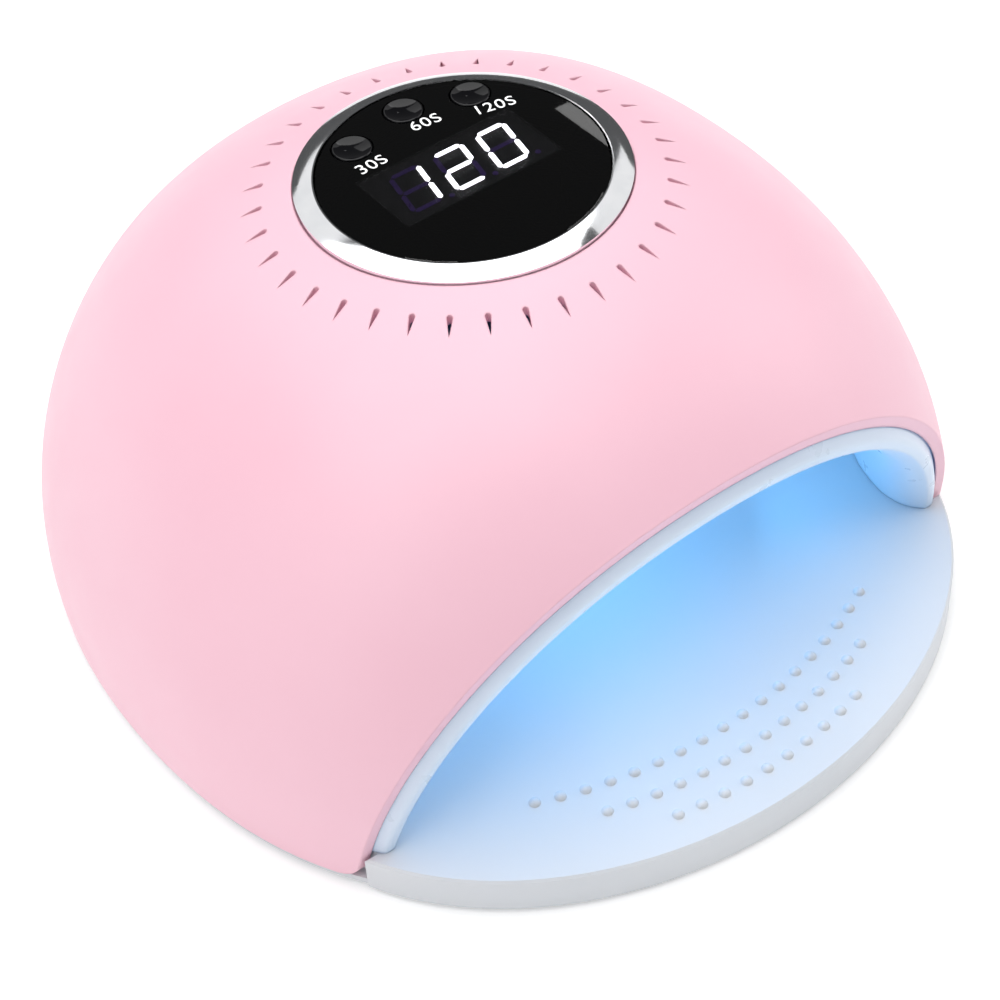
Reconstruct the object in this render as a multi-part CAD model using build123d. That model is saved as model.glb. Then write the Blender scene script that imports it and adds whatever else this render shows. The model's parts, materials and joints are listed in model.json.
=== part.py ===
"""UV LED nail lamp: a domed lamp head that stands on a removable hand tray.

Millimetres, +Z up.  The origin is on the table, under the middle of the whole lamp.
The hand goes in from the front, which faces -Y; +X is on the right seen from there.
"""
import os
from math import asin, atan2, cos, degrees, hypot, pi, radians, sin, tan

from build123d import *

# ---------------------------------------------------------------- driving dimensions
LENS_R = 30.0              # black display lens, the size that the rest was scaled from
DISPLAY_Z = 106.2          # top face of the display lens
DOME_Y = 2.8               # the dome's and the display's common axis
DOME_Z = 10.4              # height of the dome's widest section
DOME_R = 100.8             # mean radius of the dome
SHELL_WALL = 2.2
SHELL_BOTTOM = 3.5
MOUTH_Y = -59.3            # where the mouth plane meets the underside of the tray
MOUTH_LEAN = 12.3          # degrees that the mouth plane leans out over the tray
FOOT_H = 1.5               # tray underside above the table
TRAY_TOP = 10.5
TRAY_FRONT_RX = 86.0       # the tray's front edge is half of this ellipse
TRAY_FRONT_RY = 66.5
TRAY_FRONT_Y = -37.4
TRAY_SKIN = 2.6
TRAY_WALL = 2.4
HEAD_GAP = 0.4             # between the head and the tray
LIFT_FLOOR = TRAY_TOP + HEAD_GAP

# display
BEZEL_R = 34.5
BEZEL_IN_R = 30.15
SLEEVE_R = 31.0            # the bezel's sleeve and the shell's hole round it
LAND_R = 38.5              # flat land inside the shell that the carrier is screwed to
CARRIER_SCREW_R = 34.8
CARRIER_SCREW_ANGLES = [20, 160, 225, 315]
BEZEL_SEAT = DISPLAY_Z - 3.2
LENS_T = 2.0
CARRIER_T = 2.0
CARRIER_FLANGE_Z = 97.7
CARRIER_FLANGE_T = 1.8
BOARD_TOP = 95.6
BOARD_T = 1.6
BOARD_R = 28.0
BUTTONS = {"30s": (-13.4, 19.8), "60s": (2.0, 23.5), "120s": (15.9, 18.95)}
BUTTON_R = 4.2
BUTTON_HOLE_R = 4.5
BUTTON_PROUD = 0.25
BUTTON_FLANGE = (100.9, 101.8)
SWITCH_TOP = 99.1
DIGIT_H = 13.0
DIGIT_W = 7.7
DIGIT_PITCH = 10.8
DIGIT_MID = (0.4, 1.7)
DIGIT_SLANT = 11.5
SEGMENT_W = 1.05
MODULE = (38.0, 18.0)
MODULE_TOP = 103.9

# vents
VENT_COUNT = 36
VENT_IN_R = 41.0
VENT_OUT_R = 45.6
VENT_HALF_W = 0.6

# reflector chamber
CHAMBER_INSET = 16.5       # chamber wall, inwards from the dome's outer surface
CHAMBER_TOP = 68.0
CHAMBER_EDGE_R = 18.0
LINER_WALL = 1.8
LINER_OUTER_INSET = 2.6
LINER_PROUD = 2.0          # the rolled lip stands this far out of the shell's mouth
FLARE_DEPTH = 24.0         # the lip is part of an ellipse, this deep
FLARE_TURN = 62.0          # and turned through this angle from the chamber wall to the lip's face
FLARE_INSET = 4.2          # and it ends this far inside the dome's outer surface
FLARE_OVER = 0.05          # the cut runs on this far past the lip's face
FLARE_STEP = 0.3           # and starts this far inside the chamber, so that it meets the wall at an angle
LIP_EDGE_R = 1.4
LIP_SOLID = 5.0
SLEEVE_DEPTH = 15.0        # the lip's outer sleeve reaches this far into the shell
FOOT_CORNER_R = 5.0

# light sources
SIDE_BOARD_ANGLES = [-12, 20, 52, 90, 128, 160, 192]
SIDE_BOARD_RISE = 20.0     # degrees above the dome's widest section
SIDE_BOARD = (26.0, 11.0, 1.2)
SIDE_BEAD_OFFSET = 8.0
CROWN_R = 48.0
CROWN_BEADS = [(10, 40.0), (6, 19.0)]
BEAD_R = 2.6
BEAD_HOLE_R = 3.0
SIDE_GAP = 0.7             # between the liner and the side boards
CROWN_LOW = 70.1           # underside of the crown board
CROWN_T = 1.4
SENSOR_Y = -26.2
SENSOR_R = 2.9
POWER_ROUTE = [(93.4, 27.6), (93.4, 45), (79, 68), (52, 87), (20.5, 90.2)]   # Y and Z

# fixings
BOSS_ANGLES = [4, 36, 71, 109, 144, 176]
MAGNET_ANGLES = [-22, 54, 126, 202]
RIM_MID_INSET = 8.4        # middle of the space between chamber wall and shell
MAGNET_R = 4.0
MAGNET_T = 3.0
MAGNET_LOW = 4.9           # underside of the magnets in the tray
BOSS_R = 3.5
JACK_Z = 22.0
JACK_HOLE_R = 5.5
JACK_FLANGE_R = 6.6
JACK_FACE_Y = 102.0        # seat of the inlet's flange
JACK_SEAT_T = 4.5

# tray
PLATE_TOP = 3.3
DOT_ROWS = [(18, -81.7), (14, -88.8), (10, -95.6)]   # how many, and the middle one's Y
DOT_ARC_R = 110.0
DOT_STEP = 5.45
DOT_R = 1.35
DOT_SINK = 0.35


def polar_radius(rise):
    """Distance of the dome's surface from its centre at this angle above the widest section."""
    return DOME_R + 1.2 * cos(2 * rise) - 0.9 * cos(4 * rise) + 0.45 * cos(6 * rise)


def plan_factor(turn):
    """The plan is a circle drawn out along Y and squared off a little."""
    return 1 - 0.0184 * cos(2 * turn) - 0.0218 * cos(4 * turn)


def dome_section(rise, inset, count=32):
    """Horizontal section through the dome, moved in by inset."""
    radius = polar_radius(rise) - inset
    height = DOME_Z + radius * sin(rise)
    start = radians(65)
    points = []
    for i in range(count):
        turn = start + 2 * pi * i / count
        reach = radius * cos(rise) * plan_factor(turn)
        points.append((reach * cos(turn), DOME_Y + reach * sin(turn), height))
    return make_face(Spline(*points, periodic=True))


def dome(inset, low=-7, high=76, count=9):
    """Closed solid inside the dome's surface moved in by inset."""
    rises = [radians(low + (high - low) * i / (count - 1)) for i in range(count)]
    return loft([dome_section(rise, inset) for rise in rises])


def rim_point(turn_deg, inset, z=0.0):
    """Point on the dome's widest section, moved in by inset, at this angle round Z."""
    turn = radians(turn_deg)
    reach = (polar_radius(0) - inset) * plan_factor(turn)
    return (reach * cos(turn), DOME_Y + reach * sin(turn), z)


def above(z):
    return Pos(0, 0, z) * Box(400, 400, 300, align=(Align.CENTER, Align.CENTER, Align.MIN))


def below(z):
    return Pos(0, 0, z) * Box(400, 400, 300, align=(Align.CENTER, Align.CENTER, Align.MAX))


def behind_mouth(shift=0.0):
    """Everything behind the mouth plane, the plane moved back by shift."""
    plane = Pos(0, MOUTH_Y, FOOT_H) * Rot(MOUTH_LEAN, 0, 0) * Pos(0, shift, 0)
    return plane * Box(400, 300, 500, align=(Align.CENTER, Align.MIN, Align.CENTER))


def plane_reach(turn, shift, inset):
    """Distance from the middle of the shifted mouth plane, at DOME_Z, to the dome moved in by inset."""
    lean = radians(MOUTH_LEAN)
    middle_y = MOUTH_Y + shift / cos(lean) - tan(lean) * (DOME_Z - FOOT_H) - DOME_Y
    low, high = 0.0, 150.0
    for _ in range(40):
        reach = (low + high) / 2
        x, y, z = reach * cos(turn), middle_y - reach * sin(turn) * sin(lean), reach * sin(turn) * cos(lean)
        across = hypot(x, y) / plan_factor(atan2(y, x))
        outside = hypot(across, z) > polar_radius(atan2(z, across)) - inset
        low, high = (low, reach) if outside else (reach, high)
    return reach, middle_y


def arch_section(shift, inset, count=13):
    """The arch that the shifted mouth plane cuts out of the dome moved in by inset."""
    lean = radians(MOUTH_LEAN)
    points = []
    for i in range(count):
        turn = pi * i / (count - 1)
        reach, middle_y = plane_reach(turn, shift, inset)
        rise = reach * sin(turn)
        points.append((reach * cos(turn), DOME_Y + middle_y - rise * sin(lean), DOME_Z + rise * cos(lean)))
    drop = Vector(0, 10 * sin(lean), -10 * cos(lean))
    right, left = Vector(*points[0]), Vector(*points[-1])
    legs = Polyline(left, left + drop, right + drop, right)
    return make_face([Spline(*points), legs])


def flare(grow=0.0, count=7):
    """The widening mouth of the chamber, from its full depth out to the lip."""
    last = radians(FLARE_TURN)
    across = (CHAMBER_INSET + FLARE_STEP - FLARE_INSET) / (1 - cos(last))
    along = FLARE_DEPTH / sin(last)
    sections = []
    for i in range(count):
        turn = last * i / (count - 1)
        inset = CHAMBER_INSET + FLARE_STEP - across * (1 - cos(turn)) - grow * cos(turn)
        depth = along * (sin(last) - sin(turn)) + grow * sin(turn) - FLARE_OVER
        sections.append(arch_section(depth - LINER_PROUD, inset))
    return loft(sections)


def foot_corner():
    """What is cut off the shell's two feet to round their front corners."""
    lean = radians(MOUTH_LEAN)
    r = FOOT_CORNER_R
    mid_z = SHELL_BOTTOM + r
    mid_y = MOUTH_Y - tan(lean) * (mid_z - FOOT_H) + r / cos(lean)
    upper = (mid_y - r * cos(lean), mid_z - r * sin(lean))
    lower = (mid_y, SHELL_BOTTOM)
    half = radians(90 - MOUTH_LEAN) / 2
    middle = (mid_y - r * sin(half), mid_z - r * cos(half))
    outside = Polyline(upper, (mid_y - 20, upper[1]), (mid_y - 20, 0), (mid_y, 0), lower)
    outline = make_face([ThreePointArc(lower, middle, upper), outside])
    return extrude(Plane.YZ * outline, 150, both=True)


def disc(radius, low, high, x=0.0, y=DOME_Y):
    """Upright cylinder between two heights; on the dome's axis by default."""
    return Pos(x, y, low) * Cylinder(radius, high - low, align=(Align.CENTER, Align.CENTER, Align.MIN))


def cup_y(radius, face_y, depth, z=0.0, x=0.0):
    """Cylinder along Y that starts at face_y and runs forward by depth."""
    return Pos(x, face_y, z) * Rot(90, 0, 0) * Cylinder(
        radius, depth, align=(Align.CENTER, Align.CENTER, Align.MIN))


def save(name, shape):
    solids = shape.solids() if hasattr(shape, "solids") else [s for item in shape for s in item.solids()]
    whole = Compound(children=list(solids)) if len(solids) > 1 else solids[0]
    export_step(whole, f"parts/{name}.step")


# ---------------------------------------------------------------- lamp head: shell and display
def vent_slot(turn_deg):
    """Teardrop slot: round at the display end, pointed at the outer end."""
    mid = VENT_IN_R + VENT_HALF_W
    near, far = (mid, VENT_HALF_W), (mid, -VENT_HALF_W)
    tip = (VENT_OUT_R, 0)
    outline = [ThreePointArc(near, (VENT_IN_R, 0), far), Line(far, tip), Line(tip, near)]
    slot = extrude(make_face(outline), 20)
    return Pos(0, DOME_Y, 92) * Rot(0, 0, turn_deg) * slot


def carrier_screw_places():
    turns = [radians(a) for a in CARRIER_SCREW_ANGLES]
    return [(CARRIER_SCREW_R * cos(t), DOME_Y + CARRIER_SCREW_R * sin(t)) for t in turns]


def outer_shell():
    skin = (dome(0) - dome(SHELL_WALL)) & behind_mouth() & above(SHELL_BOTTOM)
    skin = skin - foot_corner()
    hole = disc(SLEEVE_R + 0.05, 90, 130)
    land = (disc(LAND_R, CARRIER_FLANGE_Z + CARRIER_FLANGE_T, 130) & dome(0.6)) - hole
    bosses = [disc(BOSS_R, LIFT_FLOOR + LINER_WALL, 45, *rim_point(a, RIM_MID_INSET)[:2]) & dome(0.8)
              for a in BOSS_ANGLES]
    jack_boss = cup_y(9, JACK_FACE_Y + 3, 3 + JACK_SEAT_T, JACK_Z) & dome(0.6)
    body = skin - hole + land + bosses + jack_boss
    cuts = [disc(BEZEL_R + 0.25, BEZEL_SEAT, 130)]
    cuts += [vent_slot(360 * i / VENT_COUNT) for i in range(VENT_COUNT)]
    cuts += [cup_y(JACK_FLANGE_R + 0.2, JACK_FACE_Y + 6, 6, JACK_Z)]
    cuts += [cup_y(JACK_HOLE_R + 0.1, JACK_FACE_Y + 6, 20, JACK_Z)]
    cuts += [disc(1.3, LIFT_FLOOR, 23, *rim_point(a, RIM_MID_INSET)[:2]) for a in BOSS_ANGLES]
    cuts += [disc(0.95, 99, 102.2, x, y) for x, y in carrier_screw_places()]
    return body - cuts


def bezel_ring():
    """Chrome trim with a sleeve that drops into the shell's hole."""
    top, sleeve_low = DISPLAY_Z + 0.05, BEZEL_SEAT - 2.9
    shoulder, crest = (BEZEL_R, DISPLAY_Z - 1.25), (BEZEL_IN_R + 0.3, top)
    profile = Polyline((BEZEL_IN_R, sleeve_low), (SLEEVE_R, sleeve_low), (SLEEVE_R, BEZEL_SEAT),
                       (BEZEL_R, BEZEL_SEAT), shoulder)
    slope = ThreePointArc(shoulder, (BEZEL_R - 1.9, DISPLAY_Z - 0.48), crest)
    rim = Polyline(crest, (BEZEL_IN_R, top), (BEZEL_IN_R, sleeve_low))
    ring = revolve(Plane.XZ * make_face([profile, slope, rim]), Axis.Z)
    return Pos(0, DOME_Y, 0) * ring


def display_lens():
    lens = disc(LENS_R, DISPLAY_Z - LENS_T, DISPLAY_Z)
    lens = chamfer(lens.edges().group_by(Axis.Z)[-1], 0.3)
    return lens - [disc(BUTTON_HOLE_R, 90, 130, x, DOME_Y + y) for x, y in BUTTONS.values()]


def post_places():
    return [(-22.5, 8), (22.5, 8), (-19, -15), (19, -15)]


def lens_carrier():
    """Black frame under the lens: holds it, guides the buttons and carries the control board."""
    top = DISPLAY_Z - LENS_T
    plate = disc(30.0, top - CARRIER_T, top)
    ring = disc(LAND_R - 1, CARRIER_FLANGE_Z, CARRIER_FLANGE_Z + CARRIER_FLANGE_T) - disc(28.6, 90, 110)
    legs = []
    for angle in (5, 175, 240, 300):
        leg = Pos(0, DOME_Y, CARRIER_FLANGE_Z) * Rot(0, 0, angle) * Pos(28.2, 0, 0) * Box(
            3.4, 8, top - 1 - CARRIER_FLANGE_Z, align=(Align.CENTER, Align.CENTER, Align.MIN))
        legs.append(leg & disc(30.0, 90, 110))
    posts = [disc(1.8, BOARD_TOP, top - 1, x, DOME_Y + y) for x, y in post_places()]
    body = plate + ring + legs + posts
    window = Pos(DIGIT_MID[0], DOME_Y + DIGIT_MID[1], top) * Box(MODULE[0] + 0.6, MODULE[1] + 0.6, 8)
    cuts = [disc(BUTTON_HOLE_R, 100, 110, x, DOME_Y + y) for x, y in BUTTONS.values()]
    cuts += [disc(0.95, 90, BOARD_TOP + 5, x, DOME_Y + y) for x, y in post_places()]
    cuts += [disc(1.1, 90, 99.6, x, y) for x, y in carrier_screw_places()]
    return body - window - cuts


def display_module():
    return Pos(DIGIT_MID[0], DOME_Y + DIGIT_MID[1], BOARD_TOP) * Box(
        MODULE[0], MODULE[1], MODULE_TOP - BOARD_TOP, align=(Align.CENTER, Align.CENTER, Align.MIN))


def segment(start, end):
    """One bar of a digit between two corners: six-sided, with pointed ends."""
    length = hypot(end[0] - start[0], end[1] - start[1]) - 0.45
    half, tip = SEGMENT_W / 2, length / 2
    outline = Polyline((-tip, 0), (half - tip, half), (tip - half, half), (tip, 0),
                       (tip - half, -half), (half - tip, -half), close=True)
    turn = degrees(atan2(end[1] - start[1], end[0] - start[0]))
    mid = ((start[0] + end[0]) / 2, (start[1] + end[1]) / 2)
    return Pos(mid[0], mid[1], MODULE_TOP) * Rot(0, 0, turn) * extrude(make_face(outline), 0.15)


def digit_bars(mid_x):
    """The seven bars of a digit, by letter, slanted to the right."""
    lean = tan(radians(DIGIT_SLANT))
    wide, tall = DIGIT_W - SEGMENT_W, DIGIT_H - SEGMENT_W
    cx, cy = mid_x, DOME_Y + DIGIT_MID[1]

    def corner(side, level):
        return (cx + side * wide / 2 + level * tall / 2 * lean, cy + level * tall / 2)

    ends = {"a": ((-1, 1), (1, 1)), "b": ((1, 1), (1, 0)), "c": ((1, 0), (1, -1)), "d": ((-1, -1), (1, -1)),
            "e": ((-1, 0), (-1, -1)), "f": ((-1, 1), (-1, 0)), "g": ((-1, 0), (1, 0))}
    return {name: segment(corner(*a), corner(*b)) for name, (a, b) in ends.items()}


def display_segments():
    """The bars of 1, 2 and 0 that are lit, and the rest with the decimal points, which are not."""
    lit, dark = [], []
    for i, bars_on in enumerate(["bc", "abged", "abcdef"]):
        mid_x = DIGIT_MID[0] + (i - 1) * DIGIT_PITCH
        for name, bar in digit_bars(mid_x).items():
            (lit if name in bars_on else dark).append(bar)
        dark.append(disc(0.6, MODULE_TOP, MODULE_TOP + 0.15, mid_x + 4.2, DOME_Y + DIGIT_MID[1] - DIGIT_H / 2))
    return lit, dark


def button_cap(x, y):
    """Round key with a dished top and a flange that keeps it under the lens."""
    key = disc(BUTTON_R, BUTTON_FLANGE[1], DISPLAY_Z + BUTTON_PROUD, x, DOME_Y + y)
    key = fillet(key.edges().group_by(Axis.Z)[-1], 0.35)
    dish_r = 11.0
    dish = Pos(x, DOME_Y + y, DISPLAY_Z + BUTTON_PROUD - 0.7 + dish_r) * Sphere(dish_r)
    return key - dish + disc(BUTTON_R + 0.7, *BUTTON_FLANGE, x, DOME_Y + y)


def switch_housing(x, y):
    body = Pos(x, DOME_Y + y, BOARD_TOP) * Box(
        4.5, 4.5, SWITCH_TOP - BOARD_TOP, align=(Align.CENTER, Align.CENTER, Align.MIN))
    return body - disc(1.65, 97.3, 110, x, DOME_Y + y)


def switch_plunger(x, y):
    return disc(1.3, 98.3, BUTTON_FLANGE[0], x, DOME_Y + y)


def control_board():
    board = disc(BOARD_R, BOARD_TOP - BOARD_T, BOARD_TOP)
    return board - [disc(1.0, 90, 100, x, DOME_Y + y) for x, y in post_places()]


def block(size, x, y, low):
    return Pos(x, DOME_Y + y, low) * Box(*size, align=(Align.CENTER, Align.CENTER, Align.MIN))


def hanging(size, x, y, top=BOARD_TOP - BOARD_T):
    """Box that hangs under the control board."""
    return block(size, x, y, top - size[2])


def can(radius, height, x, y, top=BOARD_TOP - BOARD_T):
    """Round part that hangs under the control board."""
    body = disc(radius, top - height, top, x, DOME_Y + y)
    return fillet(body.edges().group_by(Axis.Z)[0], 0.4)


def screw(x, y, head_z, length, shank_r, head_r, head_t):
    """Pan-head screw driven upwards, its head's flat face at head_z."""
    head = disc(head_r, head_z - head_t, head_z, x, y)
    head = fillet(head.edges().group_by(Axis.Z)[0], head_t * 0.4)
    cross = Pos(x, y, head_z - head_t) * (Box(head_r, 0.35, head_t) + Box(0.35, head_r, head_t))
    return head + disc(shank_r, head_z, head_z + length, x, y) - cross


# ---------------------------------------------------------------- lamp head: reflector and light
def chamber(grow=0.0):
    """The hollow for the hand: a dome with a flat ceiling."""
    top = CHAMBER_TOP + grow
    body = dome(CHAMBER_INSET - grow) & below(top)
    return fillet(body.edges().group_by(Axis.Z)[-1], CHAMBER_EDGE_R + grow)


def side_plane(turn_deg):
    """Plane on the liner's outer face, its Z pointing straight out of the wall."""
    turn, rise = radians(turn_deg), radians(SIDE_BOARD_RISE)
    factor = plan_factor(turn)
    slope = 0.0368 * sin(2 * turn) + 0.0872 * sin(4 * turn)
    facing = turn - atan2(slope, factor)
    radius = polar_radius(rise) - CHAMBER_INSET + LINER_WALL
    reach = radius * cos(rise) * factor
    origin = (reach * cos(turn), DOME_Y + reach * sin(turn), DOME_Z + radius * sin(rise))
    outward = (cos(facing) * cos(rise), sin(facing) * cos(rise), sin(rise))
    return Plane(origin=origin, x_dir=(-sin(facing), cos(facing), 0), z_dir=outward)


def side_bead_planes():
    return [side_plane(a) * Pos(side * SIDE_BEAD_OFFSET, 0, 0)
            for a in SIDE_BOARD_ANGLES for side in (-1, 1)]


def crown_bead_places():
    places = []
    for count, radius in CROWN_BEADS:
        for i in range(count):
            turn = 2 * pi * i / count
            places.append((radius * cos(turn), DOME_Y + radius * sin(turn)))
    return places


def crown_bead_planes():
    top = CHAMBER_TOP + LINER_WALL
    return [Plane(origin=(x, y, top)) for x, y in crown_bead_places()]


def bead(plane, gap):
    """LED bead on its board: a round body with a domed lens that looks into the chamber."""
    inner = -LINER_WALL + 0.6
    body = Pos(0, 0, inner) * Cylinder(BEAD_R, gap - inner, align=(Align.CENTER, Align.CENTER, Align.MIN))
    return plane * (body + Pos(0, 0, inner) * (Sphere(BEAD_R) & below(0)))


def reflector_liner():
    """White reflector: chamber wall, rolled lip at the mouth and the flange that closes the head below."""
    lip = dome(LINER_OUTER_INSET) & behind_mouth(-LINER_PROUD) & above(LIFT_FLOOR)
    front = lip.faces().filter_by(lambda face: face.normal_at().Y < -0.9)[0]
    lip = fillet(front.edges().filter_by(GeomType.LINE, reverse=True), LIP_EDGE_R)
    wall = chamber(LINER_WALL)
    upper = above(LIFT_FLOOR + LINER_WALL)
    inside_lip = dome(LINER_OUTER_INSET + LINER_WALL) - wall - flare(LINER_WALL)
    roll_hollow = inside_lip & behind_mouth(LIP_SOLID - LINER_PROUD) & upper
    outside = (dome(0) - wall - flare(LINER_WALL)) & behind_mouth(SLEEVE_DEPTH - LINER_PROUD) & upper
    body = lip - chamber() - flare() - roll_hollow - outside
    cuts = [plane * Cylinder(BEAD_HOLE_R, 16) for plane in side_bead_planes() + crown_bead_planes()]
    cuts += [disc(1.5, 5, LIFT_FLOOR + 5, *rim_point(a, RIM_MID_INSET)[:2]) for a in BOSS_ANGLES]
    cuts += [disc(2.9, 5, LIFT_FLOOR + 0.9, *rim_point(a, RIM_MID_INSET)[:2]) for a in BOSS_ANGLES]
    cuts.append(disc(SENSOR_R + 0.7, 60, 75, 0, SENSOR_Y))
    return body - cuts


def side_boards():
    return [side_plane(a) * Pos(0, 0, SIDE_GAP) * Box(
        *SIDE_BOARD, align=(Align.CENTER, Align.CENTER, Align.MIN)) for a in SIDE_BOARD_ANGLES]


def crown_board():
    return disc(CROWN_R, CROWN_LOW, CROWN_LOW + CROWN_T)


def ir_sensor():
    """Infrared emitter and receiver that notice a hand, under the crown board."""
    return disc(SENSOR_R, CROWN_LOW - 1.4, CROWN_LOW, 0, SENSOR_Y)


def sensor_window():
    return disc(SENSOR_R + 0.65, CHAMBER_TOP - 0.4, CHAMBER_TOP + 0.7, 0, SENSOR_Y)


def board_jumpers():
    """Short wires that join each side board to the next."""
    wires = []
    half, out = SIDE_BOARD[0] / 2 - 1, SIDE_GAP + SIDE_BOARD[2] + 0.95
    for first, second in zip(SIDE_BOARD_ANGLES, SIDE_BOARD_ANGLES[1:]):
        start = (side_plane(first) * Pos(half, 0, out)).position
        end = (side_plane(second) * Pos(-half, 0, out)).position
        run = end - start
        wires.append(Plane(origin=start, z_dir=run) * Cylinder(
            0.6, run.length, align=(Align.CENTER, Align.CENTER, Align.MIN)))
    return wires


def wire(points, radius, bend):
    """Round wire along straight runs joined by arcs."""
    path = FilletPolyline(*points, radius=bend)
    return sweep(Plane(origin=path @ 0, z_dir=path % 0) * Circle(radius), path)


def power_lead(x):
    """One lead from the inlet up the back of the head to the control board's connector."""
    return wire([(x, y, z) for y, z in POWER_ROUTE], 0.9, 9.0)


def light_lead():
    """Lead from the control board down to the crown board."""
    top, low = BOARD_TOP - BOARD_T - 6, CROWN_LOW + CROWN_T
    return wire([(-18, DOME_Y - 8, top), (-18, DOME_Y - 8, top - 5), (-22, DOME_Y - 12, low + 5),
                 (-22, DOME_Y - 12, low)], 1.0, 3.5)


def side_lead():
    """Lead from the crown board over the liner's shoulder to the rear side board."""
    level = CROWN_LOW + CROWN_T + 1
    return wire([(-9, 40, level), (-9, 62, level), (-9, 86.5, 58), (-9, 84.6, 46)], 0.9, 6)


# ---------------------------------------------------------------- lamp head: inlet
def dc_jack():
    """Round panel inlet for a barrel plug; its flange sits in the shell's counterbore."""
    flange = cup_y(JACK_FLANGE_R, JACK_FACE_Y + 1.2, 1.2, JACK_Z)
    barrel = cup_y(JACK_HOLE_R, JACK_FACE_Y, 11.4, JACK_Z)
    tab = Pos(0, JACK_FACE_Y - 8.2, JACK_Z + 4.5) * Box(6.4, 2.4, 2.2)
    return flange + barrel + tab - cup_y(3.15, JACK_FACE_Y + 3, 12, JACK_Z)


def jack_pin():
    return cup_y(1.0, JACK_FACE_Y - 0.6, 8.4, JACK_Z)


def jack_nut():
    hexagon = Pos(0, JACK_FACE_Y - JACK_SEAT_T, JACK_Z) * Rot(90, 0, 0) * extrude(RegularPolygon(7.8, 6), 2.2)
    return hexagon - cup_y(JACK_HOLE_R + 0.05, JACK_FACE_Y, 12, JACK_Z)


# ---------------------------------------------------------------- hand tray
def rim_turn(y, inset):
    """Angle round Z at which the dome's widest section, moved in by inset, crosses y, on the right."""
    low, high = -80.0, 0.0
    for _ in range(40):
        turn = (low + high) / 2
        low, high = (turn, high) if rim_point(turn, inset)[1] < y else (low, turn)
    return turn


def tray_block(rear_inset, front_inset, low, high):
    """Slab with the tray's outline: under the shell behind the mouth, a half-ellipse in front of it."""
    join_y = MOUTH_Y - tan(radians(MOUTH_LEAN)) * (TRAY_TOP - FOOT_H) - HEAD_GAP
    rx, ry = TRAY_FRONT_RX - front_inset, TRAY_FRONT_RY - front_inset
    join_turn = degrees(asin((join_y - TRAY_FRONT_Y) / ry))
    front = EllipticalCenterArc((0, TRAY_FRONT_Y), rx, ry, 180 - join_turn, arc_size=180 + 2 * join_turn)
    first = rim_turn(join_y, rear_inset)
    count = 24
    turns = [first + (180 - 2 * first) * i / (count - 1) for i in range(count)]
    rear = Spline(*[rim_point(turn, rear_inset)[:2] for turn in turns])
    steps = [Line(front @ 1, rear @ 0), Line(rear @ 1, front @ 0)]
    return Pos(0, 0, low) * extrude(make_face([front, rear, *steps]), high - low)


def dot_places():
    """Staggered rows of massage dots, on arcs that follow the tray's front edge."""
    places = []
    for count, lowest_y in DOT_ROWS:
        for i in range(count):
            turn = radians(-90) + (i - (count - 1) / 2) * DOT_STEP / DOT_ARC_R
            places.append((DOT_ARC_R * cos(turn), lowest_y + DOT_ARC_R * (1 + sin(turn))))
    return places


def hand_tray():
    """White tray: raised platform with ribs below, a ledge for the shell and rows of dots."""
    ledge_top = SHELL_BOTTOM - HEAD_GAP
    platform = tray_block(SHELL_WALL + 0.8, 0, FOOT_H, TRAY_TOP)
    top_edges = platform.edges().group_by(Axis.Z)[-1]
    platform = chamfer(top_edges, 0.5)
    ledge = tray_block(1.0, 0, FOOT_H, ledge_top)
    hollow = tray_block(SHELL_WALL + 0.8 + TRAY_WALL, TRAY_WALL, 0, TRAY_TOP - TRAY_SKIN)
    ribs = [Pos(0, y, PLATE_TOP) * Box(180, 1.4, 8, align=(Align.CENTER, Align.CENTER, Align.MIN))
            for y in range(-90, 100, 18)]
    ribs += [Pos(x, 0, PLATE_TOP) * Box(1.4, 200, 8, align=(Align.CENTER, Align.CENTER, Align.MIN))
             for x in range(-81, 90, 18)]
    wells = [disc(MAGNET_R + 1.4, PLATE_TOP, TRAY_TOP - 1, x, y) for x, y, _ in magnet_places()]
    wells += [disc(3.4, PLATE_TOP, TRAY_TOP - 1, x, y) for x, y in plate_screw_places()]
    cuts = [hollow - ribs - wells]
    cuts += [disc(MAGNET_R + 0.05, 0, MAGNET_LOW + MAGNET_T, x, y) for x, y, _ in magnet_places()]
    cuts += [disc(1.05, 0, TRAY_TOP - TRAY_SKIN, x, y) for x, y in plate_screw_places()]
    dots = [Pos(x, y, TRAY_TOP - DOT_SINK) * Sphere(DOT_R) for x, y in dot_places()]
    return platform + ledge - cuts + dots


def magnet_places():
    return [rim_point(a, RIM_MID_INSET) for a in MAGNET_ANGLES]


def plate_screw_places():
    return [(-54, -72), (54, -72), (-54, 63), (54, 63)]


def foot_places():
    return [(-60, -58), (60, -58), (-60, 55), (60, 55)]


def tray_plate():
    """Flat plate that closes the tray from below."""
    plate = tray_block(SHELL_WALL + 0.8 + TRAY_WALL + 0.15, TRAY_WALL + 0.15, FOOT_H, PLATE_TOP)
    cuts = [disc(6.6, 0, FOOT_H + 0.8, x, y) for x, y in foot_places()]
    cuts += [disc(1.3, 0, 5, x, y) for x, y in plate_screw_places()]
    cuts += [disc(2.5, 0, FOOT_H + 1.0, x, y) for x, y in plate_screw_places()]
    return plate - cuts


def tray_feet():
    feet = []
    for x, y in foot_places():
        foot = disc(6.5, 0, FOOT_H + 0.8, x, y)
        feet.append(fillet(foot.edges().group_by(Axis.Z)[0], 0.5))
    return feet


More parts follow.
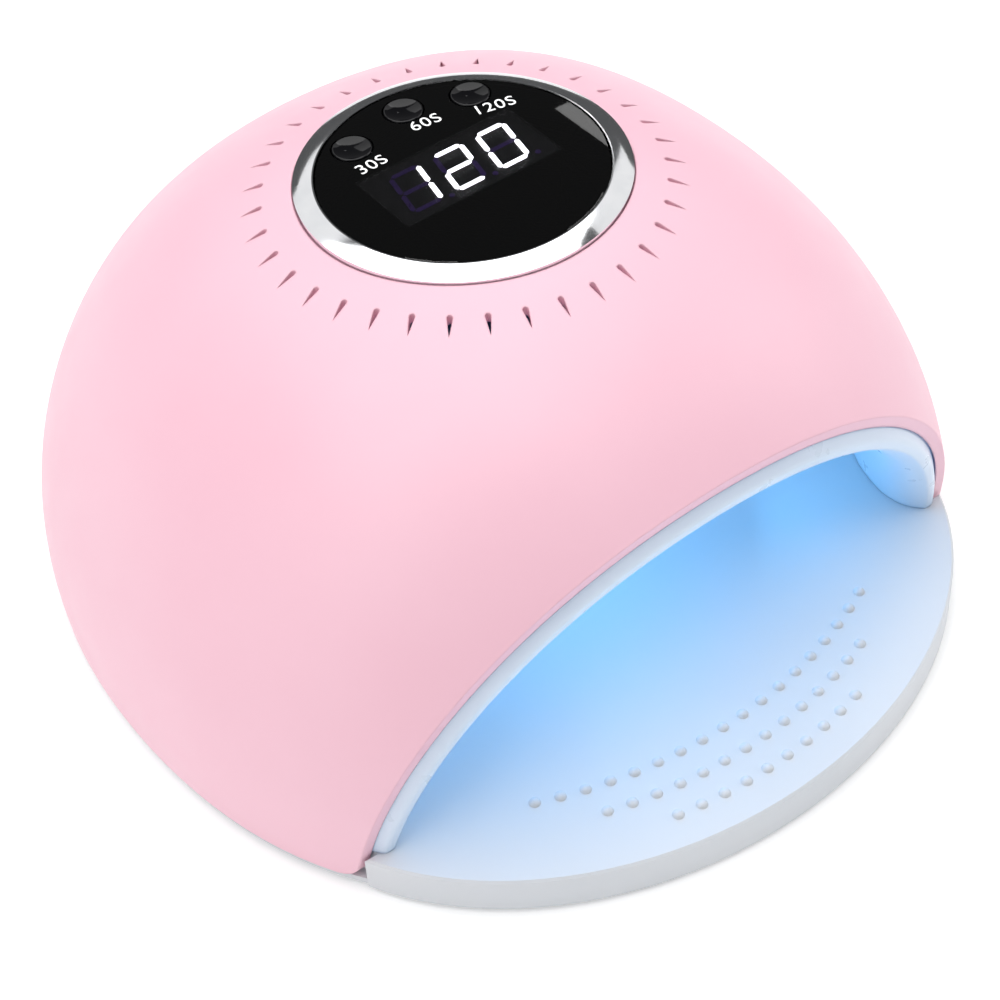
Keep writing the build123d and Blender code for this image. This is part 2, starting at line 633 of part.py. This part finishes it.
# ---------------------------------------------------------------- write every piece
def main():
    os.makedirs("parts", exist_ok=True)
    lit, dark = display_segments()
    save("outer_shell", outer_shell())
    save("bezel_ring", bezel_ring())
    save("display_lens", display_lens())
    save("lens_carrier", lens_carrier())
    save("display_module", display_module())
    save("display_bars_lit", lit)
    save("display_bars_dark", dark)
    save("control_board", control_board())
    for name, (x, y) in BUTTONS.items():
        save(f"button_{name}", button_cap(x, y))
        save(f"switch_plunger_{name}", switch_plunger(x, y))
    save("switch_housings", [switch_housing(x, y) for x, y in BUTTONS.values()])
    save("controller_chip", hanging((9, 9, 1.6), 6, -6))
    save("driver_chip", hanging((6, 5, 1.6), -8, 8))
    save("inductor", can(4.5, 6, 14, 8))
    save("capacitors", [can(4.0, 10, -6, -14), can(4.0, 10, 4, -17)])
    save("buzzer", can(5.0, 7, 17, -3))
    save("power_connector", block((12, 6, 6.5), 0, 14.7, BOARD_TOP - BOARD_T - 6.5))
    save("light_connector", hanging((8, 6, 6), -18, -8))
    board_screws = [screw(x, DOME_Y + y, BOARD_TOP - BOARD_T, 6.5, 0.9, 1.8, 0.9) for x, y in post_places()]
    save("board_screws", board_screws)
    save("carrier_screws", [screw(x, y, CARRIER_FLANGE_Z, 4.2, 0.9, 1.8, 0.9)
                            for x, y in carrier_screw_places()])
    save("reflector_liner", reflector_liner())
    save("side_boards", side_boards())
    save("side_beads", [bead(plane, SIDE_GAP) for plane in side_bead_planes()])
    save("crown_board", crown_board())
    save("crown_beads", [bead(plane, CROWN_LOW - CHAMBER_TOP - LINER_WALL) for plane in crown_bead_planes()])
    save("board_jumpers", board_jumpers())
    save("ir_sensor", ir_sensor())
    save("sensor_window", sensor_window())
    save("liner_screws", [screw(*rim_point(a, RIM_MID_INSET)[:2], LIFT_FLOOR + 0.9, 8, 1.25, 2.7, 0.9)
                          for a in BOSS_ANGLES])
    low = LIFT_FLOOR + LINER_WALL
    save("head_magnets", [disc(MAGNET_R, low, low + MAGNET_T, x, y) for x, y, _ in magnet_places()])
    save("dc_jack", dc_jack())
    save("jack_pin", jack_pin())
    save("jack_nut", jack_nut())
    save("power_lead_red", power_lead(-2.2))
    save("power_lead_black", power_lead(2.2))
    save("light_lead", light_lead())
    save("side_lead", side_lead())
    save("hand_tray", hand_tray())
    save("tray_plate", tray_plate())
    save("tray_magnets", [disc(MAGNET_R, MAGNET_LOW, MAGNET_LOW + MAGNET_T, x, y)
                          for x, y, _ in magnet_places()])
    save("tray_feet", tray_feet())
    save("plate_screws", [screw(x, y, FOOT_H + 1.0, 5.0, 1.0, 2.3, 0.9) for x, y in plate_screw_places()])


main()
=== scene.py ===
"""Looks of the UV LED nail lamp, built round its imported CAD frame. Metres, +Z up, front towards -Y."""
import json
from math import cos, radians, sin

import bpy
from mathutils import Matrix, Vector


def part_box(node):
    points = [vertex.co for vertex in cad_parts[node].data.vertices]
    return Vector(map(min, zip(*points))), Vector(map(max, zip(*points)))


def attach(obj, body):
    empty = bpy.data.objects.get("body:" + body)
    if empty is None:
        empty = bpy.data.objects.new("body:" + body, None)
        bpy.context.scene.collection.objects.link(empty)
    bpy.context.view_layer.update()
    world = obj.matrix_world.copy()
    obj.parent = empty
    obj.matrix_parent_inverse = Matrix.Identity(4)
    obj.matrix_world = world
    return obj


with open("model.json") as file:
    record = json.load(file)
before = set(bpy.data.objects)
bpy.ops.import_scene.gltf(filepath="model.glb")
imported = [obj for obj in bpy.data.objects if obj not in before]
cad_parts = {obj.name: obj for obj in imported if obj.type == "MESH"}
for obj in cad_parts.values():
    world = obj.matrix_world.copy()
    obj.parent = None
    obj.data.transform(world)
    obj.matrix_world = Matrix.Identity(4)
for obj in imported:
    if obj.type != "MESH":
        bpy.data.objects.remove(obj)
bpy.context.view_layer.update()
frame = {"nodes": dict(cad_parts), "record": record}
MM = 0.001

# ---------------------------------------------------------------- places taken from the frame
LENS_LOW, LENS_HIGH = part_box("display_lens")
LENS_MID = (LENS_LOW + LENS_HIGH) / 2
LENS_TOP = LENS_HIGH.z
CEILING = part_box("crown_board")[0].z

# ---------------------------------------------------------------- colours, linear
PINK = (0.93, 0.57, 0.67)
PINK_DEEP = (0.915, 0.545, 0.645)
WHITE = (0.70, 0.72, 0.75)
WHITE_SHADE = (0.67, 0.695, 0.73)
GLOW_BLUE = (0.17, 0.54, 0.96)


# ---------------------------------------------------------------- materials
class Surface:
    """A Principled material with its node tree, and short calls that add detail to it."""

    def __init__(self, name, **sockets):
        self.material = bpy.data.materials.new(name)
        self.material.use_nodes = True
        self.tree = self.material.node_tree
        self.shader = self.tree.nodes["Principled BSDF"]
        for socket, value in sockets.items():
            value = (*value, 1.0) if isinstance(value, tuple) else value
            self.shader.inputs[socket.replace("_", " ")].default_value = value
        self.place = self.add("ShaderNodeTexCoord").outputs["Object"]

    def add(self, kind, **settings):
        node = self.tree.nodes.new(kind)
        for key, value in settings.items():
            setattr(node, key, value)
        return node

    def link(self, output, target):
        self.tree.links.new(output, target)
        return self

    def noise(self, size, detail=3.0, stretch=(1, 1, 1)):
        """Noise field whose features are about this many metres across."""
        mapping = self.add("ShaderNodeMapping")
        mapping.inputs["Scale"].default_value = stretch
        field = self.add("ShaderNodeTexNoise")
        field.inputs["Scale"].default_value = 1 / size
        field.inputs["Detail"].default_value = detail
        self.link(self.place, mapping.inputs["Vector"])
        self.link(mapping.outputs["Vector"], field.inputs["Vector"])
        return field.outputs["Fac"]

    def between(self, field, low, high, start=0.3, end=0.7):
        """The field turned into a number between low and high."""
        ranged = self.add("ShaderNodeMapRange")
        for socket, value in (("From Min", start), ("From Max", end), ("To Min", low), ("To Max", high)):
            ranged.inputs[socket].default_value = value
        self.link(field, ranged.inputs["Value"])
        return ranged.outputs["Result"]

    def roughness(self, low, high, size, detail=4.0, stretch=(1, 1, 1)):
        field = self.noise(size, detail, stretch)
        return self.link(self.between(field, low, high), self.shader.inputs["Roughness"])

    def colours(self, first, second, size, detail=3.0, start=0.35, end=0.65, stretch=(1, 1, 1)):
        mix = self.add("ShaderNodeMix", data_type="RGBA")
        mix.inputs["A"].default_value = (*first, 1)
        mix.inputs["B"].default_value = (*second, 1)
        share = self.between(self.noise(size, detail, stretch), 0, 1, start, end)
        self.link(share, mix.inputs["Factor"])
        return self.link(mix.outputs["Result"], self.shader.inputs["Base Color"])

    def relief(self, depth, size, detail=3.0, stretch=(1, 1, 1), rounded=0.0):
        """Bump this many metres deep, on edges that look rounded by this radius."""
        bump = self.add("ShaderNodeBump")
        bump.inputs["Distance"].default_value = depth
        bump.inputs["Strength"].default_value = 1.0
        self.link(self.noise(size, detail, stretch), bump.inputs["Height"])
        if rounded:
            edges = self.add("ShaderNodeBevel", samples=6)
            edges.inputs["Radius"].default_value = rounded
            self.link(edges.outputs["Normal"], bump.inputs["Normal"])
        return self.link(bump.outputs["Normal"], self.shader.inputs["Normal"])


def moulded(name, colour, shade, rough, grain, depth, rounded=0.0, **sockets):
    """Injection-moulded plastic: fine grain, slow drift of colour, slightly uneven gloss."""
    surface = Surface(name, Base_Color=colour, **sockets)
    surface.colours(colour, shade, 60 * MM, detail=2)
    surface.roughness(rough - 0.04, rough + 0.04, 9 * MM)
    surface.relief(depth, grain, rounded=rounded)
    return surface


def plated(name, colour, shade, rough, stretch=(1, 1, 1), **sockets):
    """Metal: fine scratches along one way and patches of lower gloss."""
    surface = Surface(name, Base_Color=colour, Metallic=1.0, **sockets)
    surface.colours(colour, shade, 6 * MM)
    surface.roughness(rough * 0.8, rough * 1.3, 3 * MM, stretch=stretch)
    surface.relief(0.002 * MM, 0.5 * MM, stretch=stretch)
    return surface


def smoked_lens():
    surface = Surface("smoked_acrylic", Base_Color=(0.34, 0.34, 0.36), IOR=1.49, Transmission_Weight=1.0,
                      Specular_IOR_Level=0.25)
    surface.roughness(0.0, 0.012, 12 * MM)
    return surface


def glowing(name, colour, strength, **sockets):
    surface = Surface(name, Base_Color=colour, Emission_Strength=strength, **sockets)
    mix = surface.add("ShaderNodeMix", data_type="RGBA")
    mix.inputs["A"].default_value = (*colour, 1)
    mix.inputs["B"].default_value = (*[0.93 * c for c in colour], 1)
    surface.link(surface.between(surface.noise(1.5 * MM), 0, 1), mix.inputs["Factor"])
    surface.link(mix.outputs["Result"], surface.shader.inputs["Emission Color"])
    surface.roughness(0.25, 0.4, 1 * MM)
    return surface


def circuit():
    surface = Surface("solder_mask", Base_Color=(0.015, 0.13, 0.05), Coat_Weight=0.4, Coat_Roughness=0.15)
    surface.colours((0.012, 0.11, 0.045), (0.03, 0.2, 0.08), 2.5 * MM, detail=1, start=0.48, end=0.52)
    surface.roughness(0.25, 0.4, 2 * MM)
    surface.relief(0.03 * MM, 2.5 * MM, detail=1)
    return surface


SLOTS = {
    "pink_shell": lambda: moulded("pink_satin", PINK, PINK_DEEP, 0.40, 0.35 * MM, 0.004 * MM,
                                  rounded=0.6 * MM),
    "white_tray": lambda: moulded("tray_white", WHITE, WHITE_SHADE, 0.42, 0.4 * MM, 0.005 * MM),
    # the reflector is white plastic; its faint blue emission is painted glow standing in for the lit beads'
    # blue light falling on it
    "reflector_white": lambda: moulded("reflector_painted_blue_glow", (0.68, 0.73, 0.79), (0.65, 0.705, 0.77), 0.30,
                                       0.8 * MM, 0.004 * MM, rounded=1.2 * MM,
                                       Emission_Color=(0.15, 0.50, 1.0), Emission_Strength=0.12),
    "chrome_trim": lambda: plated("chrome", (0.90, 0.905, 0.92), (0.84, 0.85, 0.87), 0.09),
    "black_lens": smoked_lens,
    "button_black": lambda: moulded("button_gloss", (0.003, 0.003, 0.004), (0.005, 0.005, 0.006), 0.08,
                                    2 * MM, 0.002 * MM, Specular_IOR_Level=0.32),
    "lit_digit": lambda: glowing("digit_lit", (1.0, 1.0, 1.0), 9.0),
    # unlit segments emit a faint purple: painted glow standing in for room light seen on them through the
    # smoked lens
    "dark_digit": lambda: glowing("digit_unlit_painted_glow", (0.05, 0.02, 0.14), 0.5),
    "black_plastic": lambda: moulded("black_moulding", (0.005, 0.005, 0.006), (0.008, 0.008, 0.009), 0.5,
                                     0.5 * MM, 0.01 * MM),
    "circuit_board": circuit,
    "switch_grey": lambda: moulded("switch_body", (0.22, 0.22, 0.23), (0.27, 0.27, 0.28), 0.45,
                                   0.3 * MM, 0.01 * MM),
    "chip_black": lambda: moulded("epoxy", (0.018, 0.018, 0.019), (0.028, 0.028, 0.029), 0.55,
                                  0.12 * MM, 0.01 * MM),
    "capacitor_can": lambda: plated("capacitor_sleeve", (0.30, 0.31, 0.36), (0.24, 0.25, 0.30), 0.3,
                                    stretch=(1, 1, 8)),
    "connector_white": lambda: moulded("nylon", (0.78, 0.76, 0.69), (0.72, 0.70, 0.63), 0.5,
                                       0.4 * MM, 0.01 * MM),
    "screw_steel": lambda: plated("zinc", (0.62, 0.62, 0.64), (0.50, 0.50, 0.53), 0.28, stretch=(1, 1, 6)),
    "board_aluminium": lambda: moulded("white_solder_mask", (0.80, 0.81, 0.82), (0.75, 0.76, 0.78), 0.4,
                                       0.6 * MM, 0.01 * MM),
    "led_bead": lambda: glowing("led_lit", (0.35, 0.60, 1.0), 2.0),
    "wire_white": lambda: moulded("pvc_white", (0.78, 0.78, 0.77), (0.72, 0.72, 0.71), 0.45,
                                  0.5 * MM, 0.02 * MM),
    "wire_red": lambda: moulded("pvc_red", (0.55, 0.02, 0.02), (0.46, 0.015, 0.015), 0.45,
                                0.5 * MM, 0.02 * MM),
    "wire_black": lambda: moulded("pvc_black", (0.016, 0.016, 0.017), (0.024, 0.024, 0.025), 0.45,
                                  0.5 * MM, 0.02 * MM),
    "sensor_dark": lambda: moulded("infrared_pass", (0.03, 0.006, 0.02), (0.045, 0.01, 0.03), 0.15,
                                   1 * MM, 0.003 * MM),
    "contact_brass": lambda: plated("brass", (0.76, 0.60, 0.30), (0.68, 0.52, 0.24), 0.2),
    "magnet": lambda: plated("nickel", (0.62, 0.61, 0.59), (0.54, 0.53, 0.51), 0.16),
    "rubber": lambda: moulded("foot_rubber", (0.24, 0.24, 0.25), (0.29, 0.29, 0.30), 0.8,
                              0.25 * MM, 0.03 * MM),
}


def finish_cad_nodes():
    """Each CAD node gets the material of its slot in the record."""
    made = {name: build().material for name, build in SLOTS.items()}
    for row in frame["record"]["subparts"]:
        node = frame["nodes"][row["node"]]
        node.data.materials.clear()
        node.data.materials.append(made[row["material_slot"]])


# ---------------------------------------------------------------- printed labels
LABEL_H = 3.15 * MM        # height of the capitals
LABEL_LETTER_GAP = 1.10    # of the font's own spacing
CAP_SHARE = 0.70           # height of a capital as a share of the font's size
LABELS = {                 # word, its middle from the lens's middle in mm, its turn in degrees
    "30s": ("30S", (-13.5, 12.6), 1),
    "60s": ("60S", (3.1, 17.1), -6),
    "120s": ("120S", (17.2, 12.3), -14),
}


def label(name, text, offset_mm, turn, painted_glow_ink):
    """A printed word on the lens, its middle this far from the lens's middle."""
    curve = bpy.data.curves.new(f"label_{name}", "FONT")
    curve.body = text
    curve.size = LABEL_H / CAP_SHARE
    curve.space_character = LABEL_LETTER_GAP
    curve.extrude = 0.01 * MM
    curve.align_x = "CENTER"
    curve.align_y = "CENTER"
    source = bpy.data.objects.new(f"label_{name}_curve", curve)
    mesh = bpy.data.meshes.new_from_object(source)
    bpy.data.objects.remove(source)
    printed = bpy.data.objects.new(f"label_{name}", mesh)
    bpy.context.collection.objects.link(printed)
    printed.rotation_euler.z = radians(turn)
    printed.location = (LENS_MID.x + offset_mm[0] * MM, LENS_MID.y + offset_mm[1] * MM, LENS_TOP + 0.02 * MM)
    mesh.materials.clear()
    mesh.materials.append(painted_glow_ink)
    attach(printed, "lamp_head")


# ---------------------------------------------------------------- lights
def area_light(name, place, aim, size, power, colour=(1, 1, 1), shape="RECTANGLE"):
    """Soft light that the camera doesn't see itself."""
    data = bpy.data.lights.new(name, "AREA")
    data.shape = shape
    data.size, data.size_y = size
    data.energy = power
    data.color = colour
    lamp = bpy.data.objects.new(name, data)
    bpy.context.collection.objects.link(lamp)
    lamp.location = place
    lamp.rotation_euler = (Vector(aim) - Vector(place)).to_track_quat("-Z", "Y").to_euler()
    lamp.visible_camera = False


def chamber_glow():
    """Blue light that stands for the lit beads, and for what the tray throws back at the lip."""
    under_ceiling = CEILING - 6 * MM
    glows = {              # place, what it faces, how wide, watts
        "glow_top": ((0, LENS_MID.y, under_ceiling), (0, LENS_MID.y, 0), 0.11, 0.032),
        "glow_front": ((0, -0.035, 0.052), (0, -0.085, 0.012), 0.06, 0.010),
        "glow_back": ((0, 0.055, 0.045), (0, -0.05, 0.01), 0.06, 0.006),
        "glow_tray": ((0, -0.080, 0.014), (0, -0.070, 0.08), 0.10, 0.014),
        "glow_right": ((0.045, -0.040, 0.030), (0.085, -0.070, 0.022), 0.02, 0.0030),
    }
    for name, (place, aim, wide, power) in glows.items():
        area_light(name, place, aim, (wide, wide), power, GLOW_BLUE, "DISK")


# ---------------------------------------------------------------- studio
WORLD_STRENGTH = 0.10
FLOOR_HALF = 20.0
FLOOR_GLOW = (0.20, 1.0)       # near the lamp and far from it
FLOOR_GLOW_FROM = (0.8, 2.5)   # the distances between which it rises
LAMP_MID = (0, 0, 0.05)


def backdrop_paper():
    """White paper that glows more far away, so the floor stays white in low views."""
    paper = Surface("backdrop_paper", Base_Color=(0.93, 0.93, 0.93), Specular_IOR_Level=0.1,
                    Emission_Color=(1.0, 1.0, 1.0))
    paper.roughness(0.8, 0.9, 20 * MM)
    away = paper.add("ShaderNodeVectorMath", operation="LENGTH")
    paper.link(paper.place, away.inputs["Vector"])
    glow = paper.between(away.outputs["Value"], *FLOOR_GLOW, *FLOOR_GLOW_FROM)
    paper.link(glow, paper.shader.inputs["Emission Strength"])
    return paper.material


def studio():
    world = bpy.data.worlds.new("studio")
    bpy.context.scene.world = world
    world.use_nodes = True
    world.node_tree.nodes["Background"].inputs["Color"].default_value = (0.97, 0.98, 1.0, 1)
    world.node_tree.nodes["Background"].inputs["Strength"].default_value = WORLD_STRENGTH
    floor_mesh = bpy.data.meshes.new("floor")
    half = FLOOR_HALF
    corners = [(-half, -half, 0), (half, -half, 0), (half, half, 0), (-half, half, 0)]
    floor_mesh.from_pydata(corners, [], [(0, 1, 2, 3)])
    floor = bpy.data.objects.new("floor", floor_mesh)
    bpy.context.collection.objects.link(floor)
    floor_mesh.materials.append(backdrop_paper())
    area_light("top", (-0.15, 0.05, 1.38), LAMP_MID, (1.9, 2.0), 27.5)
    area_light("back", (-0.05, 1.40, 1.15), LAMP_MID, (1.2, 0.8), 2.4)
    area_light("left", (-1.3, -0.15, 0.60), LAMP_MID, (0.9, 0.9), 2.8)
    area_light("right", (1.3, -0.60, 0.60), LAMP_MID, (0.9, 0.9), 5.5)
    area_light("right_high", (1.2, 0.35, 1.10), LAMP_MID, (0.8, 0.8), 1.6)
    # a small card that the lens mirrors near its right edge
    area_light("window", (0.795, 0.975, 1.0), (0.795, 0.975, 0), (0.055, 0.075), 0.03)


# ---------------------------------------------------------------- camera
CAM_TURN, CAM_RISE, CAM_ROLL = radians(-33.6626), radians(45.4611), radians(-4.6714)
CAM_PLACE = (-0.197825, -0.297968, 0.376119)
CAM_LENS = 79.84


def photograph_camera():
    back = Vector((sin(CAM_TURN) * cos(CAM_RISE), -cos(CAM_TURN) * cos(CAM_RISE), sin(CAM_RISE)))
    right = Vector((cos(CAM_TURN), sin(CAM_TURN), 0))
    up = back.cross(right)
    rolled_right = right * cos(CAM_ROLL) + up * sin(CAM_ROLL)
    rolled_up = up * cos(CAM_ROLL) - right * sin(CAM_ROLL)
    data = bpy.data.cameras.new("camera")
    data.lens = CAM_LENS
    data.sensor_width = 36.0
    data.clip_start, data.clip_end = 0.01, 50
    camera = bpy.data.objects.new("camera", data)
    bpy.context.collection.objects.link(camera)
    turn = Matrix((rolled_right, rolled_up, back)).transposed()
    camera.matrix_world = Matrix.Translation(CAM_PLACE) @ turn.to_4x4()
    bpy.context.scene.camera = camera


finish_cad_nodes()
# the white print also emits a little light: painted brightness on the letters, beyond what the lamps give
# them
painted_glow_ink = glowing("label_ink_painted_glow", (0.9, 0.9, 0.9), 0.55).material
for label_name, (label_text, label_offset, label_turn) in LABELS.items():
    label(label_name, label_text, label_offset, label_turn, painted_glow_ink)

chamber_glow()
studio()
photograph_camera()
bpy.context.scene.view_settings.view_transform = "Standard"
